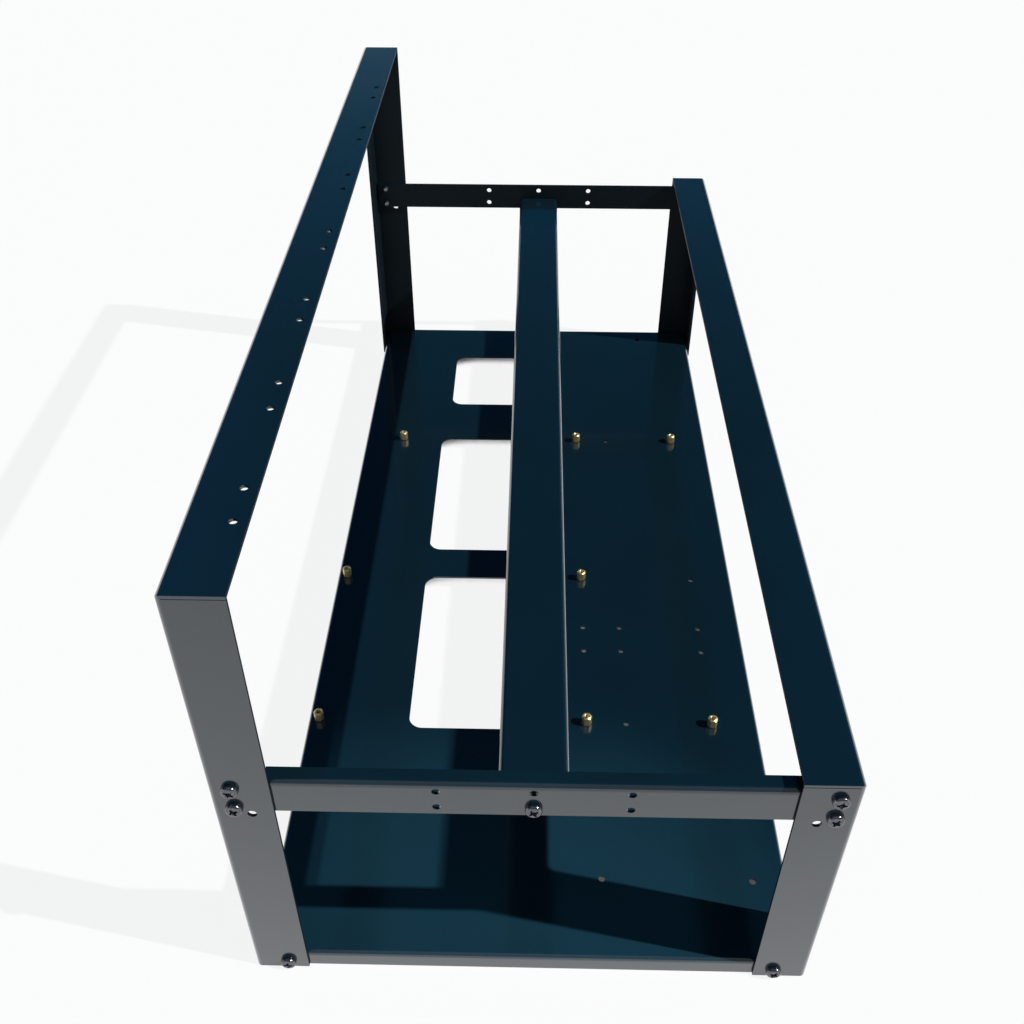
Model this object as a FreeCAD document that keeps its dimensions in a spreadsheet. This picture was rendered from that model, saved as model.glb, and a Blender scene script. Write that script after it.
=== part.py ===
import FreeCAD, Part
import os
import Sketcher

# Open-air frame for a computer with several graphics cards, in millimetres.
# A folded tray carries the main board. Two folded side frames of unequal height stand along its long
# edges, two crossbars join their legs, and a channel between the crossbars carries the card sockets.
# Origin: centre of the footprint on the floor. +X points to the low side, +Y to the rear, +Z up.

# Driving dimensions: name, value, meaning.
DIMENSIONS = [
    # Main board holes, from the first column and the rear row of the board.
    ("column_2", 22.86, "second column of board holes"),
    ("column_3", 154.94, "third column of board holes"),
    ("column_4", 177.8, "fourth column of board holes"),
    ("column_5", 227.33, "last column of board holes"),
    ("row_2", 157.48, "second row of board holes"),
    ("row_3", 203.2, "third row of board holes"),
    ("row_4", 223.52, "fourth row of board holes"),
    ("row_5", 281.94, "front row of board holes"),
    ("board_left", 6.3, "tray's left edge to the first column"),
    ("board_rear", 168.45, "tray's rear edge to the rear row"),
    # Tray.
    ("tray_height", 10, "tray's top above the floor"),
    ("tray_sheet", 1.2, "tray's sheet thickness"),
    ("tray_gap", 1.3, "play between the tray and a side frame's web"),
    ("bend_radius", 1.2, "inside radius of every bend"),
    ("relief_margin", 0.5, "how far a corner relief passes its bends"),
    ("cutout_inset", 58.4, "tray's left edge to the two long cut-outs"),
    ("cutout_width", 75, "width of the two long cut-outs"),
    ("rear_cutout_inset", 63.2, "tray's left edge to the rear cut-out"),
    ("rear_cutout_width", 70.2, "width of the rear cut-out"),
    ("rear_margin", 46.5, "tray's rear edge to the rear cut-out"),
    ("rear_cutout_length", 72.9, "length of the rear cut-out"),
    ("rear_bridge", 47.5, "sheet between the rear and middle cut-outs"),
    ("middle_cutout_length", 131.3, "length of the middle cut-out"),
    ("front_bridge", 27.9, "sheet between the middle and front cut-outs"),
    ("front_cutout_length", 129.7, "length of the front cut-out"),
    ("cutout_radius", 8, "corner radius of the cut-outs"),
    ("drive_right", 17.4, "tray's right edge to the drive holes"),
    ("drive_front", 43.9, "tray's front edge to the drive holes"),
    ("drive_across", 76.6, "drive hole spacing across the tray"),
    ("drive_along", 61.72, "drive hole spacing along the tray"),
    ("drive_hole", 3.5, "drive hole diameter"),
    ("earth_right", 42.2, "tray's right edge to the earth hole"),
    ("earth_rear", 15.3, "tray's rear edge to the earth hole"),
    ("earth_hole", 4, "earth hole diameter"),
    # Side frames.
    ("frame_length", 600, "length of both side frames"),
    ("frame_width", 265.6, "width over both side frames"),
    ("tall_height", 246, "height of the tall side frame"),
    ("low_height", 148, "height of the low side frame"),
    ("flange_width", 25.5, "width of a side frame's inward flanges"),
    ("web_width", 25, "width of a side frame's web round its window"),
    ("frame_sheet", 1.5, "side frames' sheet thickness"),
    ("corner_seam", 0.3, "open seam under the end of a top flange"),
    ("window_radius", 3, "corner radius of a side frame's window"),
    ("card_inset", 19.6, "outer face to the card holes"),
    ("card_first", 41, "front end to the first card hole"),
    ("card_pair", 20.32, "spacing of the two holes of one card"),
    ("card_pitch", 75.2, "spacing from card to card"),
    ("card_last", 30, "least distance of a card hole from the rear end"),
    ("card_hole", 3.5, "card hole diameter"),
    ("leg_hole", 4, "spare hole in each leg, diameter"),
    ("leg_hole_drop", 10, "crossbar's middle down to the spare leg hole"),
    # Crossbars and card bar.
    ("bar_sheet", 1.5, "sheet thickness of the crossbars and the card bar"),
    ("crossbar_height", 19, "height of a crossbar"),
    ("crossbar_drop", 6, "low frame's top down to the crossbars' top"),
    ("crossbar_flange", 8, "depth of the front crossbar's top flange"),
    ("crossbar_lap", 22.8, "frame's outer face to the end of that flange"),
    ("crossbar_gap", 0.5, "play at the crossbars' ends"),
    ("crossbar_relief", 1.5, "width of the relief slot at each end of the flange"),
    ("spare_pitch", 40, "spacing of the crossbars' hole columns"),
    ("spare_rows", 10, "spacing of the crossbars' two hole rows"),
    ("card_bar_width", 30, "width of the card bar"),
    ("card_bar_height", 10, "depth of the card bar's flanges"),
    ("card_bar_drop", 10, "crossbars' top down to the card bar's top"),
    # Screws.
    ("screw_thread", 3.5, "thread diameter of the screws"),
    ("thread_play", 0.05, "radial play of a thread in its tapped hole"),
    ("screw_pass", 4.2, "through hole for a screw in a leg"),
    ("screw_length", 6, "screw length under the head"),
    ("head_width", 7.4, "screw head diameter"),
    ("head_height", 2.8, "screw head height"),
    ("head_bevel", 1.2, "bevel of the screw head's rim"),
    ("leg_screw_inset", 9.3, "outer face to the crossbar screws"),
    ("leg_screw_pitch", 12, "spacing of the two crossbar screws in a leg"),
    ("foot_inset", 16.1, "outer face to the tray screw and the spare hole"),
    ("foot_level", 5, "floor to the tray screws"),
    # Standoffs.
    ("standoff_hex", 5, "width across a standoff's flats"),
    ("standoff_height", 6.5, "height of a standoff"),
    ("stud_thread", 3, "thread diameter of a standoff's stud"),
    ("stud_length", 4, "length of a standoff's stud"),
    ("socket_hole", 2.5, "tapped hole in a standoff, diameter"),
    ("socket_depth", 5, "depth of that hole"),
]

# Places and sizes that follow from the driving dimensions.
TRAY_WIDTH = "(Sizes.frame_width - 2 * (Sizes.frame_sheet + Sizes.tray_gap))"
TRAY_LENGTH = "(Sizes.frame_length - 2 * Sizes.frame_sheet)"
HALF_WIDTH = "(Sizes.frame_width / 2)"
HALF_LENGTH = "(Sizes.frame_length / 2)"
CROSSBAR_MIDDLE = "(Sizes.low_height - Sizes.crossbar_drop - Sizes.crossbar_height / 2)"
CARD_BAR_TOP = "(Sizes.low_height - Sizes.crossbar_drop - Sizes.card_bar_drop)"
CARD_BAR_SCREW = f"({CROSSBAR_MIDDLE} - Sizes.spare_rows / 2)"
LEG_SCREW_X = f"({HALF_WIDTH} - Sizes.leg_screw_inset)"
FOOT_SCREW_X = f"({HALF_WIDTH} - Sizes.foot_inset)"
TAPPED = "(Sizes.screw_thread + 2 * Sizes.thread_play)"
STUD_HOLE = "(Sizes.stud_thread + 2 * Sizes.thread_play)"
BOARD_X = f"(Sizes.board_left - {TRAY_WIDTH} / 2)"
BOARD_Y = f"({TRAY_LENGTH} / 2 - Sizes.board_rear)"

# Board holes as (column, row); the tray has them all, and some carry a standoff.
COLUMNS = {
    1: "0",
    2: "Sizes.column_2",
    3: "Sizes.column_3",
    4: "Sizes.column_4",
    5: "Sizes.column_5",
}
ROWS = {1: "0", 2: "Sizes.row_2", 3: "Sizes.row_3", 4: "Sizes.row_4", 5: "Sizes.row_5"}
STANDOFFS = [(2, 1), (3, 1), (5, 1), (1, 2), (3, 2), (1, 5), (3, 5), (5, 5)]
BARE_HOLES = [(4, 1), (5, 2), (4, 5)] + [(column, row) for row in (3, 4) for column in (3, 4, 5)]

TOLERANCE = 1e-4
FRONT = -1
REAR = 1

doc = FreeCAD.newDocument("mining_rig_frame")
sizes = doc.addObject("Spreadsheet::Sheet", "Sizes")


def fill_sheet():
    """Writes the driving dimensions into the sheet, each under its own name."""
    for line, (name, number, meaning) in enumerate(DIMENSIONS, start=1):
        sizes.set(f"A{line}", meaning)
        sizes.set(f"B{line}", str(number))
        sizes.setAlias(f"B{line}", name)
    doc.recompute()


def value(expression):
    """The number that an expression over the sheet comes to."""
    return float(sizes.evalExpression(expression))


def minus(expression):
    return f"-({expression})"


def new_body(label):
    body = doc.addObject("PartDesign::Body", label)
    body.Label = label
    return body


def origin_feature(body, role):
    return [feature for feature in body.Origin.OriginFeatures if feature.Role == role][0]


def sketch_on(body, name, role, offset=None):
    """A sketch on one of the body's own origin planes, moved off it along its normal by offset."""
    sketch = body.newObject("Sketcher::SketchObject", name)
    sketch.AttachmentSupport = [(origin_feature(body, role), "")]
    sketch.MapMode = "FlatFace"
    if offset:
        sketch.setExpression("AttachmentOffset.Base.z", offset)
    return sketch


def bind(sketch, constraint, expression):
    index = sketch.addConstraint(constraint)
    sketch.setExpression(f"Constraints[{index}]", expression)


def fix_point(sketch, geometry, point, across, up):
    """Ties a sketch point to its place, measured from the sketch's origin."""
    for kind, axis, expression in (("DistanceX", -2, across), ("DistanceY", -1, up)):
        distance = value(expression)
        if abs(distance) < TOLERANCE:
            sketch.addConstraint(Sketcher.Constraint("PointOnObject", geometry, point, axis))
        else:
            bind(sketch, Sketcher.Constraint(kind, -1, 1, geometry, point, distance), expression)


def add_rectangle(sketch, left, right, low, high):
    corners = [(left, low), (right, low), (right, high), (left, high)]
    points = [FreeCAD.Vector(value(across), value(up), 0) for across, up in corners]
    first = sketch.GeometryCount
    for start, end in zip(points, points[1:] + points[:1]):
        sketch.addGeometry(Part.LineSegment(start, end), False)
    for side in range(4):
        sketch.addConstraint(Sketcher.Constraint("Coincident", first + side, 2, first + (side + 1) % 4, 1))
    for side, direction in enumerate(["Horizontal", "Vertical"] * 2):
        sketch.addConstraint(Sketcher.Constraint(direction, first + side))
    fix_point(sketch, first, 1, left, low)
    fix_point(sketch, first + 2, 1, right, high)


def add_circle(sketch, across, up, diameter):
    centre = FreeCAD.Vector(value(across), value(up), 0)
    circle = Part.Circle(centre, FreeCAD.Vector(0, 0, 1), value(diameter) / 2)
    index = sketch.addGeometry(circle, False)
    bind(sketch, Sketcher.Constraint("Diameter", index, value(diameter)), diameter)
    fix_point(sketch, index, 3, across, up)


def pad(body, sketch, length, side="One side", backward=False):
    feature = body.newObject("PartDesign::Pad", "Pad")
    feature.Profile = sketch
    feature.SideType = side
    feature.Reversed = backward
    feature.setExpression("Length", length)
    doc.recompute()
    return feature


def pocket(body, sketch, length=None, side="One side", backward=True):
    """Cuts along the sketch's normal, to the given depth or right through; it has to remove something."""
    before = body.Tip.Shape.Volume
    feature = body.newObject("PartDesign::Pocket", "Pocket")
    feature.Profile = sketch
    feature.SideType = side
    feature.Reversed = backward
    if length:
        feature.setExpression("Length", length)
    else:
        feature.Type = "ThroughAll"
    doc.recompute()
    if feature.Shape.Volume > before - TOLERANCE:
        raise RuntimeError(f"{body.Label}: {sketch.Name} cuts nothing")
    return feature


def edges_on(shape, lines):
    """Names of the edges whose ends both lie on one of the lines, each given by two fixed coordinates."""
    names = []
    for number, edge in enumerate(shape.Edges, start=1):
        ends = [vertex.Point for vertex in edge.Vertexes]
        for line in lines:
            offsets = [abs(getattr(end, axis) - place) for end in ends for axis, place in line.items()]
            if max(offsets) < TOLERANCE:
                names.append(f"Edge{number}")
    return names


def round_edges(body, radius, lines):
    """Rounds the straight edges that lie on the lines, given as expressions."""
    base = body.Tip
    places = [{axis: value(place) for axis, place in line.items()} for line in lines]
    names = edges_on(base.Shape, places)
    if len(names) < len(lines):
        raise RuntimeError(f"{body.Label}: an edge to be rounded is missing")
    feature = body.newObject("PartDesign::Fillet", "Bend")
    feature.Base = (base, names)
    feature.setExpression("Radius", radius)
    doc.recompute()
    return feature


def place(piece, x="0", y="0", z="0", turn=FreeCAD.Rotation()):
    piece.Placement = FreeCAD.Placement(FreeCAD.Vector(), turn)
    for axis, expression in zip("xyz", (x, y, z)):
        piece.setExpression(f"Placement.Base.{axis}", expression)


def make_side_frame(label, height):
    """One folded sheet: a web with a window open to the floor, and flanges turned in at three edges.

    The web's outer face lies at x = 0 and the flanges point to +X.
    """
    sheet = "Sizes.frame_sheet"
    outer_bend = f"(Sizes.bend_radius + {sheet})"
    inner_half = f"({HALF_LENGTH} - {sheet})"
    inner_top = f"({height} - {sheet})"
    window_half = f"({HALF_LENGTH} - Sizes.web_width)"
    window_top = f"({height} - Sizes.web_width)"
    body = new_body(label)

    block = sketch_on(body, "Block", "YZ_Plane")
    add_rectangle(block, minus(HALF_LENGTH), HALF_LENGTH, "0", height)
    pad(body, block, "Sizes.flange_width")
    inside = sketch_on(body, "Inside", "YZ_Plane", offset=sheet)
    add_rectangle(inside, minus(inner_half), inner_half, minus(sheet), inner_top)
    pocket(body, inside)

    # The bends of two flanges meet in a closed, ground corner at each end of the top.
    round_edges(body, outer_bend, [
        {"x": "0", "y": minus(HALF_LENGTH)},
        {"x": "0", "y": HALF_LENGTH},
        {"x": "0", "z": height},
    ])
    round_edges(body, "Sizes.bend_radius", [
        {"x": sheet, "y": minus(inner_half)},
        {"x": sheet, "y": inner_half},
        {"x": sheet, "z": inner_top},
    ])

    window = sketch_on(body, "Window", "YZ_Plane")
    add_rectangle(window, minus(window_half), window_half, minus(sheet), window_top)
    pocket(body, window)
    round_edges(body, "Sizes.window_radius", [
        {"y": minus(window_half), "z": window_top},
        {"y": window_half, "z": window_top},
    ])

    seams = sketch_on(body, "Seams", "XZ_Plane")
    seam_low = f"{inner_top} - Sizes.corner_seam"
    add_rectangle(seams, outer_bend, f"Sizes.flange_width + {outer_bend}", seam_low, inner_top)
    pocket(body, seams, side="Symmetric")

    holes = sketch_on(body, "LegHoles", "XZ_Plane")
    for sign in ("-", "+"):
        level = f"{CROSSBAR_MIDDLE} {sign} Sizes.leg_screw_pitch / 2"
        add_circle(holes, "Sizes.leg_screw_inset", level, "Sizes.screw_pass")
    add_circle(holes, "Sizes.foot_inset", f"{CROSSBAR_MIDDLE} - Sizes.leg_hole_drop", "Sizes.leg_hole")
    add_circle(holes, "Sizes.foot_inset", "Sizes.foot_level", "Sizes.screw_pass")
    pocket(body, holes, side="Symmetric")
    return body


def add_card_holes(body):
    """Pairs of tapped holes for the cards' brackets, along the top flange."""
    first = f"Sizes.card_first - {HALF_LENGTH}"
    room = "(Sizes.frame_length - Sizes.card_first - Sizes.card_pair - Sizes.card_last)"
    gaps = f"floor({room} / Sizes.card_pitch)"
    pair = sketch_on(body, "CardHoles", "XY_Plane")
    add_circle(pair, "Sizes.card_inset", first, "Sizes.card_hole")
    add_circle(pair, "Sizes.card_inset", f"{first} + Sizes.card_pair", "Sizes.card_hole")
    cut = pocket(body, pair)
    pattern = body.newObject("PartDesign::LinearPattern", "CardPattern")
    pattern.Originals = [cut]
    pattern.Direction = (origin_feature(body, "Y_Axis"), [""])
    pattern.setExpression("Length", f"{gaps} * Sizes.card_pitch")
    pattern.setExpression("Occurrences", f"{gaps} + 1")
    body.Tip = pattern
    doc.recompute()


def make_pan(label, width, length, height, sheet):
    """A sheet with all four edges folded down, open at the corners; it stands on z = 0."""
    outer_bend = f"(Sizes.bend_radius + {sheet})"
    relief = f"({outer_bend} + Sizes.relief_margin)"
    half_width = f"({width} / 2)"
    half_length = f"({length} / 2)"
    inner_width = f"({half_width} - {sheet})"
    inner_length = f"({half_length} - {sheet})"
    inner_top = f"({height} - {sheet})"
    body = new_body(label)

    plan = sketch_on(body, "Plan", "XY_Plane")
    add_rectangle(plan, minus(half_width), half_width, minus(half_length), half_length)
    pad(body, plan, height)
    hollow = sketch_on(body, "Hollow", "XY_Plane")
    add_rectangle(hollow, minus(inner_width), inner_width, minus(inner_length), inner_length)
    pocket(body, hollow, length=inner_top)

    corners = sketch_on(body, "CornerReliefs", "XY_Plane")
    for side in ("-", ""):
        for end in ("-", ""):
            x = f"{side}{half_width}"
            y = f"{end}{half_length}"
            add_rectangle(corners, f"{x} - {relief}", f"{x} + {relief}", f"{y} - {relief}", f"{y} + {relief}")
    pocket(body, corners)

    round_edges(body, outer_bend, [
        {"z": height, "x": minus(half_width)},
        {"z": height, "x": half_width},
        {"z": height, "y": minus(half_length)},
        {"z": height, "y": half_length},
    ])
    round_edges(body, "Sizes.bend_radius", [
        {"z": inner_top, "x": minus(inner_width)},
        {"z": inner_top, "x": inner_width},
        {"z": inner_top, "y": minus(inner_length)},
        {"z": inner_top, "y": inner_length},
    ])
    return body


def tray_cutouts():
    """The three cut-outs as (left, right, low, high) expressions, from rear to front."""
    left_edge = f"(-{TRAY_WIDTH} / 2)"
    left = f"({left_edge} + Sizes.cutout_inset)"
    rear_left = f"({left_edge} + Sizes.rear_cutout_inset)"
    right = f"({left} + Sizes.cutout_width)"
    rear_right = f"({rear_left} + Sizes.rear_cutout_width)"
    rear_high = f"({TRAY_LENGTH} / 2 - Sizes.rear_margin)"
    rear_low = f"({rear_high} - Sizes.rear_cutout_length)"
    middle_high = f"({rear_low} - Sizes.rear_bridge)"
    middle_low = f"({middle_high} - Sizes.middle_cutout_length)"
    front_high = f"({middle_low} - Sizes.front_bridge)"
    front_low = f"({front_high} - Sizes.front_cutout_length)"
    return [
        (rear_left, rear_right, rear_low, rear_high),
        (left, right, middle_low, middle_high),
        (left, right, front_low, front_high),
    ]


def board_hole(column, row):
    return f"{BOARD_X} + {COLUMNS[column]}", f"{BOARD_Y} - {ROWS[row]}"


def make_tray():
    body = make_pan("base_tray", TRAY_WIDTH, TRAY_LENGTH, "Sizes.tray_height", "Sizes.tray_sheet")
    cutouts = sketch_on(body, "Cutouts", "XY_Plane")
    corners = []
    for left, right, low, high in tray_cutouts():
        add_rectangle(cutouts, left, right, low, high)
        corners += [{"x": x, "y": y} for x in (left, right) for y in (low, high)]
    pocket(body, cutouts)
    round_edges(body, "Sizes.cutout_radius", corners)

    holes = sketch_on(body, "BoardHoles", "XY_Plane")
    for column, row in STANDOFFS + BARE_HOLES:
        across, along = board_hole(column, row)
        add_circle(holes, across, along, STUD_HOLE)
    drive_x = f"({TRAY_WIDTH} / 2 - Sizes.drive_right)"
    drive_y = f"(Sizes.drive_front - {TRAY_LENGTH} / 2)"
    for across in (drive_x, f"{drive_x} - Sizes.drive_across"):
        for along in (drive_y, f"{drive_y} + Sizes.drive_along"):
            add_circle(holes, across, along, "Sizes.drive_hole")
    earth_x = f"{TRAY_WIDTH} / 2 - Sizes.earth_right"
    earth_y = f"{TRAY_LENGTH} / 2 - Sizes.earth_rear"
    add_circle(holes, earth_x, earth_y, "Sizes.earth_hole")
    pocket(body, holes)

    foot_holes = sketch_on(body, "FootHoles", "XZ_Plane")
    for across in (FOOT_SCREW_X, minus(FOOT_SCREW_X)):
        add_circle(foot_holes, across, "Sizes.foot_level", TAPPED)
    pocket(body, foot_holes, side="Symmetric")
    return body


def make_card_bar():
    length = f"({TRAY_LENGTH} - 2 * Sizes.bar_sheet)"
    bottom = f"({CARD_BAR_TOP} - Sizes.card_bar_height)"
    body = make_pan("card_bar", "Sizes.card_bar_width", length, "Sizes.card_bar_height", "Sizes.bar_sheet")
    holes = sketch_on(body, "TabHoles", "XZ_Plane")
    add_circle(holes, "0", f"{CARD_BAR_SCREW} - {bottom}", TAPPED)
    pocket(body, holes, side="Symmetric")
    place(body, z=bottom)
    return body


def make_crossbar(label, end, flanged):
    """A bar whose outer face lies at y = 0, with the sheet behind it and its middle height at z = 0."""
    sheet = "Sizes.bar_sheet"
    half_height = "(Sizes.crossbar_height / 2)"
    half_length = f"({HALF_WIDTH} - Sizes.frame_sheet - Sizes.bend_radius - Sizes.crossbar_gap)"
    body = new_body(label)
    face = sketch_on(body, "Face", "XZ_Plane")
    add_rectangle(face, minus(half_length), half_length, minus(half_height), half_height)
    pad(body, face, sheet, backward=True)
    if flanged:
        add_top_flange(body, half_height, sheet)

    holes = sketch_on(body, "Holes", "XZ_Plane")
    for sign in ("-", "+"):
        for across in ("-Sizes.spare_pitch", "0", "Sizes.spare_pitch"):
            add_circle(holes, across, f"0 {sign} Sizes.spare_rows / 2", TAPPED)
        for across in (minus(LEG_SCREW_X), LEG_SCREW_X):
            add_circle(holes, across, f"0 {sign} Sizes.leg_screw_pitch / 2", TAPPED)
    pocket(body, holes, side="Symmetric")
    turn = FreeCAD.Rotation(FreeCAD.Vector(0, 0, 1), 0 if end == FRONT else 180)
    place(body, y=f"{end} * {TRAY_LENGTH} / 2", z=CROSSBAR_MIDDLE, turn=turn)
    return body


def add_top_flange(body, half_height, sheet):
    """Folds the bar's top edge back between the legs, with a relief slot at each end of the bend."""
    outer_bend = f"(Sizes.bend_radius + {sheet})"
    half_flange = f"({HALF_WIDTH} - Sizes.crossbar_lap)"
    slot_low = f"{half_height} - {outer_bend} - Sizes.relief_margin"
    slot_high = f"{half_height} + Sizes.relief_margin"
    flange = sketch_on(body, "Flange", "YZ_Plane")
    add_rectangle(flange, "0", "Sizes.crossbar_flange", f"{half_height} - {sheet}", half_height)
    pad(body, flange, f"2 * {half_flange}", side="Symmetric")
    slots = sketch_on(body, "ReliefSlots", "XZ_Plane")
    slot_end = f"({half_flange} + Sizes.crossbar_relief)"
    add_rectangle(slots, half_flange, slot_end, slot_low, slot_high)
    add_rectangle(slots, minus(slot_end), minus(half_flange), slot_low, slot_high)
    pocket(body, slots, side="Symmetric")
    fold_middle(body, outer_bend, {"y": "0", "z": half_height}, half_flange)
    fold_middle(body, "Sizes.bend_radius", {"y": sheet, "z": f"{half_height} - {sheet}"}, half_flange)


def fold_middle(body, radius, line, half_flange):
    """Rounds the stretch of a line that lies between the flange's ends."""
    base = body.Tip
    place_on_line = {axis: value(place) for axis, place in line.items()}
    reach = value(half_flange) + TOLERANCE
    names = [
        name for name in edges_on(base.Shape, [place_on_line])
        if all(abs(vertex.X) < reach for vertex in base.Shape.getElement(name).Vertexes)
    ]
    feature = body.newObject("PartDesign::Fillet", "Fold")
    feature.Base = (base, names)
    feature.setExpression("Radius", radius)
    doc.recompute()


def make_screw(end, x, y, z):
    """A pan head screw; its head points outwards at the front or the rear."""
    body = new_body("Screw")
    head = sketch_on(body, "Head", "XY_Plane")
    add_circle(head, "0", "0", "Sizes.head_width")
    head_pad = pad(body, head, "Sizes.head_height")
    top = head_pad.Shape.BoundBox.ZMax - TOLERANCE
    rim = [f"Edge{number}" for number, edge in enumerate(head_pad.Shape.Edges, 1) if edge.BoundBox.ZMin > top]
    bevel = body.newObject("PartDesign::Chamfer", "Rim")
    bevel.Base = (head_pad, rim)
    bevel.setExpression("Size", "Sizes.head_bevel")
    doc.recompute()
    shank = sketch_on(body, "Shank", "XY_Plane")
    add_circle(shank, "0", "0", "Sizes.screw_thread")
    pad(body, shank, "Sizes.screw_length", backward=True)
    place(body, x, y, z, FreeCAD.Rotation(FreeCAD.Vector(1, 0, 0), -90 * end))
    return body


def make_screws():
    """The three sets of like screws: crossbars to legs, tray to legs, card bar to crossbars."""
    leg_screws = []
    foot_screws = []
    card_bar_screws = []
    for end in (FRONT, REAR):
        leg_face = f"{end} * {HALF_LENGTH}"
        crossbar_face = f"{end} * {TRAY_LENGTH} / 2"
        for side in ("-", ""):
            for sign in ("-", "+"):
                level = f"{CROSSBAR_MIDDLE} {sign} Sizes.leg_screw_pitch / 2"
                leg_screws.append(make_screw(end, f"{side}{LEG_SCREW_X}", leg_face, level))
            foot_screws.append(make_screw(end, f"{side}{FOOT_SCREW_X}", leg_face, "Sizes.foot_level"))
        card_bar_screws.append(make_screw(end, "0", crossbar_face, CARD_BAR_SCREW))
    return [
        make_set("leg_screws", leg_screws),
        make_set("foot_screws", foot_screws),
        make_set("card_bar_screws", card_bar_screws),
    ]


def make_set(label, members):
    group = doc.addObject("Part::Compound", label)
    group.Label = label
    group.Links = members
    return group


def make_standoff(label, x, y):
    """A hexagon with a tapped hole from above and a stud below."""
    hexagon = doc.addObject("Part::Prism", "Hexagon")
    hexagon.Polygon = 6
    hexagon.setExpression("Circumradius", "Sizes.standoff_hex / sqrt(3)")
    hexagon.setExpression("Height", "Sizes.standoff_height")
    stud = doc.addObject("Part::Cylinder", "Stud")
    stud.setExpression("Radius", "Sizes.stud_thread / 2")
    stud.setExpression("Height", "Sizes.stud_length")
    place(stud, z="-Sizes.stud_length")
    outside = doc.addObject("Part::Fuse", "Outside")
    outside.Base = hexagon
    outside.Tool = stud

    socket = doc.addObject("Part::Cylinder", "Socket")
    socket.setExpression("Radius", "Sizes.socket_hole / 2")
    socket.setExpression("Height", "Sizes.socket_depth")
    place(socket, z="Sizes.standoff_height - Sizes.socket_depth")
    standoff = doc.addObject("Part::Cut", label)
    standoff.Label = label
    standoff.Base = outside
    standoff.Tool = socket
    place(standoff, x, y, "Sizes.tray_height")
    return standoff


def make_side_frames():
    tall_frame = make_side_frame("tall_side_frame", "Sizes.tall_height")
    add_card_holes(tall_frame)
    place(tall_frame, x=minus(HALF_WIDTH))
    low_frame = make_side_frame("low_side_frame", "Sizes.low_height")
    place(low_frame, x=HALF_WIDTH, turn=FreeCAD.Rotation(FreeCAD.Vector(0, 0, 1), 180))
    return [tall_frame, low_frame]


def check_and_write(pieces):
    """Stops if anything failed, then writes every piece to its own file."""
    doc.recompute()
    for item in doc.Objects:
        if "Invalid" in item.State or "Error" in item.State:
            raise RuntimeError(f"{item.Label}: {item.State}")
    for piece in pieces:
        solids = len(getattr(piece, "Links", [piece]))
        if piece.Shape.isNull() or not piece.Shape.isValid() or len(piece.Shape.Solids) != solids:
            raise RuntimeError(f"{piece.Label}: not the valid solids it should be")
    os.makedirs("parts", exist_ok=True)
    for piece in pieces:
        piece.Shape.exportStep(f"parts/{piece.Label}.step")


fill_sheet()
parts = [make_tray()]
parts += make_side_frames()
parts.append(make_crossbar("front_crossbar", FRONT, flanged=True))
parts.append(make_crossbar("rear_crossbar", REAR, flanged=False))
parts.append(make_card_bar())
for number, (column, row) in enumerate(STANDOFFS, start=1):
    parts.append(make_standoff(f"standoff_{number}", *board_hole(column, row)))
parts += make_screws()
check_and_write(parts)
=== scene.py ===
"""Looks of an open computer frame: coated sheets, brass standoffs and black screws, on a pale floor."""

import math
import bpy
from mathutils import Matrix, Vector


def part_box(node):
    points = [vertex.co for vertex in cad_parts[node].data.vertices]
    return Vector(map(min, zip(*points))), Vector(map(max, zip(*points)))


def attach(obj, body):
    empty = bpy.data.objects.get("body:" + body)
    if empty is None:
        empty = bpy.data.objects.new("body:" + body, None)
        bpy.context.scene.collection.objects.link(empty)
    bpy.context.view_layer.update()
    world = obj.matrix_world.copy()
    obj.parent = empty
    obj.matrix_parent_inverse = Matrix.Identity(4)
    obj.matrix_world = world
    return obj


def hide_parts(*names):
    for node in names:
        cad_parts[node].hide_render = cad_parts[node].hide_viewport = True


bl_info = {
    "name": "Mining Rig Frame",
    "version": (1, 0, 0),
    "blender": (4, 5, 0),
    "location": "View3D > Sidebar > Rig Frame",
    "description": "Coats the folded sheets, models the standoffs and screws, and sets the stage",
    "category": "Object",
}

import bmesh
import bpy
from bpy.props import FloatProperty, FloatVectorProperty, IntProperty, PointerProperty
from mathutils import Vector

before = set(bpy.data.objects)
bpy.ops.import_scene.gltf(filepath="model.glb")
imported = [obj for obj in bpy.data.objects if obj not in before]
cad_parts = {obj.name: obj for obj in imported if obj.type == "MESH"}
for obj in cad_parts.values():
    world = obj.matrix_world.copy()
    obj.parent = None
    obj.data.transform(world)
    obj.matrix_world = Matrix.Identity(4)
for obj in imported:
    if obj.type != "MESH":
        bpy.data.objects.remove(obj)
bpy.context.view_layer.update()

MM = 0.001
SAME_POINT = 0.003 * MM
STANDOFFS = [f"standoff_{number}" for number in range(1, 9)]
SCREW_SETS = ["leg_screws", "foot_screws", "card_bar_screws"]

# What every colour, length and direction in the settings has in common.
COLOUR = {"subtype": "COLOR", "size": 3, "min": 0, "max": 1}
LENGTH = {"unit": "LENGTH", "min": 0.001 * MM}
DIRECTION = {"subtype": "DIRECTION", "size": 3}


def linear(colour):
    """Linear red, green and blue of an sRGB colour written as six hexadecimal digits."""
    channels = [int(colour[start:start + 2], 16) / 255 for start in (0, 2, 4)]
    return tuple(c / 12.92 if c <= 0.04045 else ((c + 0.055) / 1.055) ** 2.4 for c in channels)


# Settings

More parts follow.
